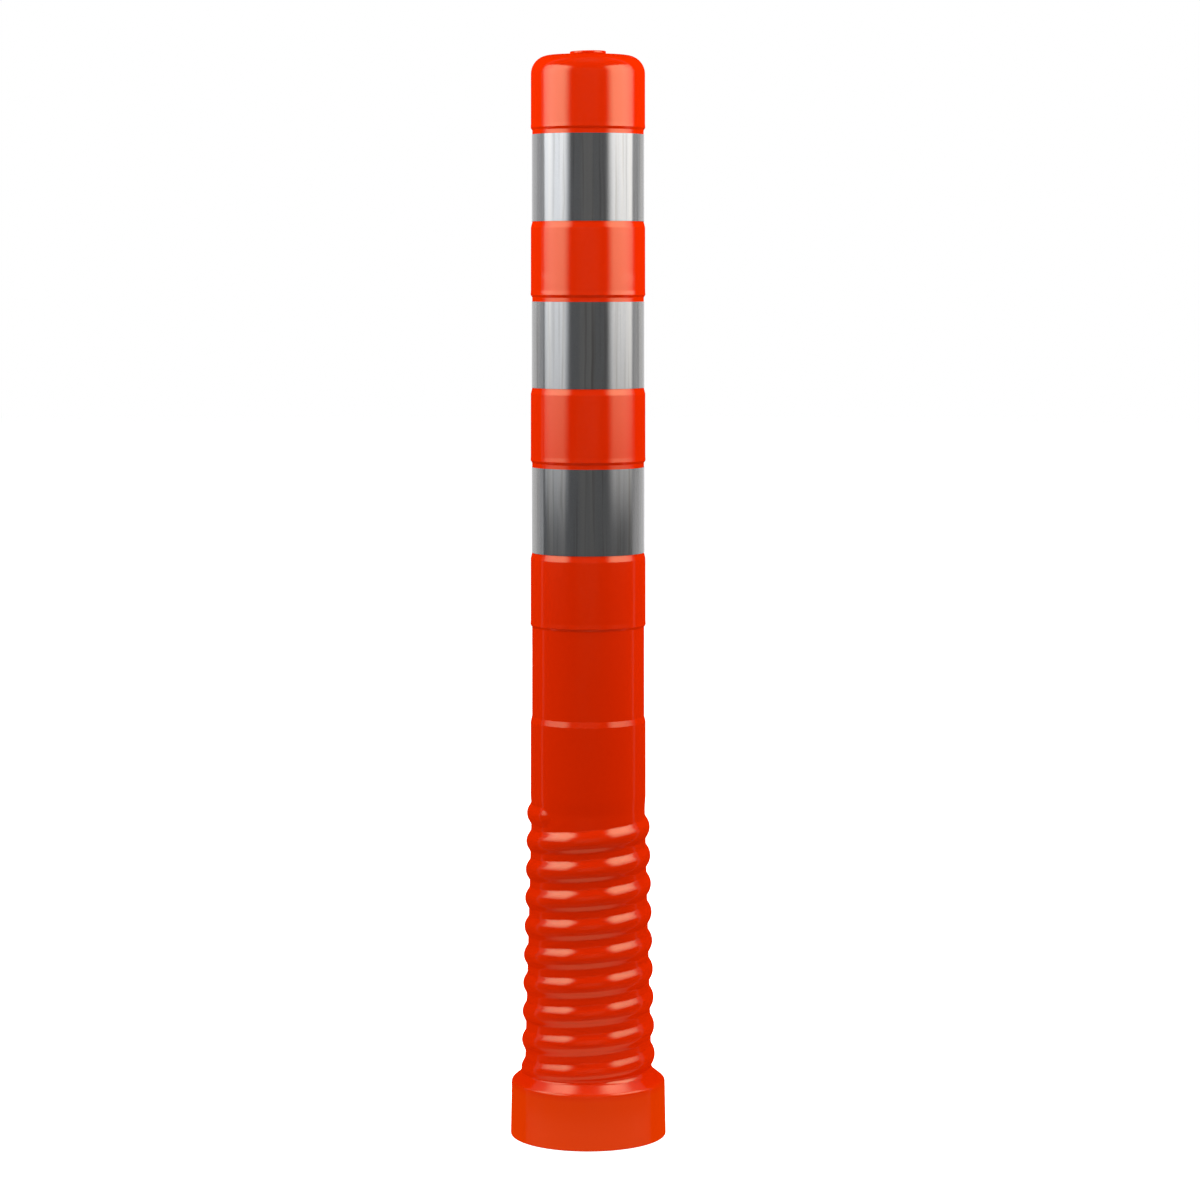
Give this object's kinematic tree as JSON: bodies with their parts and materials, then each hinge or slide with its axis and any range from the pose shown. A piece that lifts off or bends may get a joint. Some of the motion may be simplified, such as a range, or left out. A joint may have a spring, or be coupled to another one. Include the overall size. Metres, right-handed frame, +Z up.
{
  "type": "flexible delineator post",
  "caption": "Round flexible traffic post with reflective bands, a helically corrugated bending zone and a screw-on foot collar over a threaded anchor base.",
  "frame": {"origin": "on the post's axis at road level", "axes": "+Z up along the post, -Y towards the viewer of the picture, +X to the right"},
  "size_m": [0.1084, 0.1084, 0.75],
  "materials": {
    "orange_plastic": "glossy moulded polyurethane",
    "film": "silver retroreflective sheeting",
    "ring_plastic": "glass-filled nylon",
    "washer_rubber": "matte rubber",
    "base_plastic": "glass-filled nylon"
  },
  "bodies": {
    "anchor": {"anchor_base": "base_plastic"},
    "washer": {"friction_washer": "washer_rubber"},
    "foot": {"foot_collar": "orange_plastic", "thread_ring": "ring_plastic"},
    "turn_1": {"flex_turn_1": "orange_plastic"},
    "turn_2": {"flex_turn_2": "orange_plastic"},
    "turn_3": {"flex_turn_3": "orange_plastic"},
    "turn_4": {"flex_turn_4": "orange_plastic"},
    "turn_5": {"flex_turn_5": "orange_plastic"},
    "turn_6": {"flex_turn_6": "orange_plastic"},
    "turn_7": {"flex_turn_7": "orange_plastic"},
    "turn_8": {"flex_turn_8": "orange_plastic"},
    "post": {"flex_turn_9": "orange_plastic", "post_tube": "orange_plastic", "top_plug": "orange_plastic", "upper_film": "film", "middle_film": "film", "lower_film": "film"}
  },
  "joints": [
    {"name": "washer_lift", "type": "slide", "parent": "anchor", "child": "washer", "axis": [0, 0, 1], "range_m": [0, 0.0161]},
    {"name": "unscrew", "type": "hinge", "parent": "washer", "child": "foot", "pos_m": [0, 0, 0.03], "axis": [0, 0, 1], "range_deg": [0, 720]},
    {"name": "bend_1", "type": "hinge", "parent": "foot", "child": "turn_1", "pos_m": [0, 0, 0.06], "axis": [0, 1, 0], "range_deg": [-10, 10], "stiffness_Nm_per_rad": 300, "deforming": ["flex_turn_1"]},
    {"name": "bend_2", "type": "hinge", "parent": "turn_1", "child": "turn_2", "pos_m": [0, 0, 0.08], "axis": [0, 1, 0], "range_deg": [-10, 10], "stiffness_Nm_per_rad": 300, "deforming": ["flex_turn_2"]},
    {"name": "bend_3", "type": "hinge", "parent": "turn_2", "child": "turn_3", "pos_m": [0, 0, 0.1], "axis": [0, 1, 0], "range_deg": [-10, 10], "stiffness_Nm_per_rad": 300, "deforming": ["flex_turn_3"]},
    {"name": "bend_4", "type": "hinge", "parent": "turn_3", "child": "turn_4", "pos_m": [0, 0, 0.12], "axis": [0, 1, 0], "range_deg": [-10, 10], "stiffness_Nm_per_rad": 300, "deforming": ["flex_turn_4"]},
    {"name": "bend_5", "type": "hinge", "parent": "turn_4", "child": "turn_5", "pos_m": [0, 0, 0.14], "axis": [0, 1, 0], "range_deg": [-10, 10], "stiffness_Nm_per_rad": 300, "deforming": ["flex_turn_5"]},
    {"name": "bend_6", "type": "hinge", "parent": "turn_5", "child": "turn_6", "pos_m": [0, 0, 0.16], "axis": [0, 1, 0], "range_deg": [-10, 10], "stiffness_Nm_per_rad": 300, "deforming": ["flex_turn_6"]},
    {"name": "bend_7", "type": "hinge", "parent": "turn_6", "child": "turn_7", "pos_m": [0, 0, 0.18], "axis": [0, 1, 0], "range_deg": [-10, 10], "stiffness_Nm_per_rad": 300, "deforming": ["flex_turn_7"]},
    {"name": "bend_8", "type": "hinge", "parent": "turn_7", "child": "turn_8", "pos_m": [0, 0, 0.2], "axis": [0, 1, 0], "range_deg": [-10, 10], "stiffness_Nm_per_rad": 300, "deforming": ["flex_turn_8"]},
    {"name": "bend_9", "type": "hinge", "parent": "turn_8", "child": "post", "pos_m": [0, 0, 0.22], "axis": [0, 1, 0], "range_deg": [-10, 10], "stiffness_Nm_per_rad": 300, "deforming": ["flex_turn_9"]}
  ],
  "couplings": [
    {"joint": "washer_lift", "follows": "unscrew", "m_per_rad": 0.0012732},
    {"joint": "bend_2", "follows": "bend_1", "ratio": 1},
    {"joint": "bend_3", "follows": "bend_1", "ratio": 1},
    {"joint": "bend_4", "follows": "bend_1", "ratio": 1},
    {"joint": "bend_5", "follows": "bend_1", "ratio": 1},
    {"joint": "bend_6", "follows": "bend_1", "ratio": 1},
    {"joint": "bend_7", "follows": "bend_1", "ratio": 1},
    {"joint": "bend_8", "follows": "bend_1", "ratio": 1},
    {"joint": "bend_9", "follows": "bend_1", "ratio": 1}
  ]
}
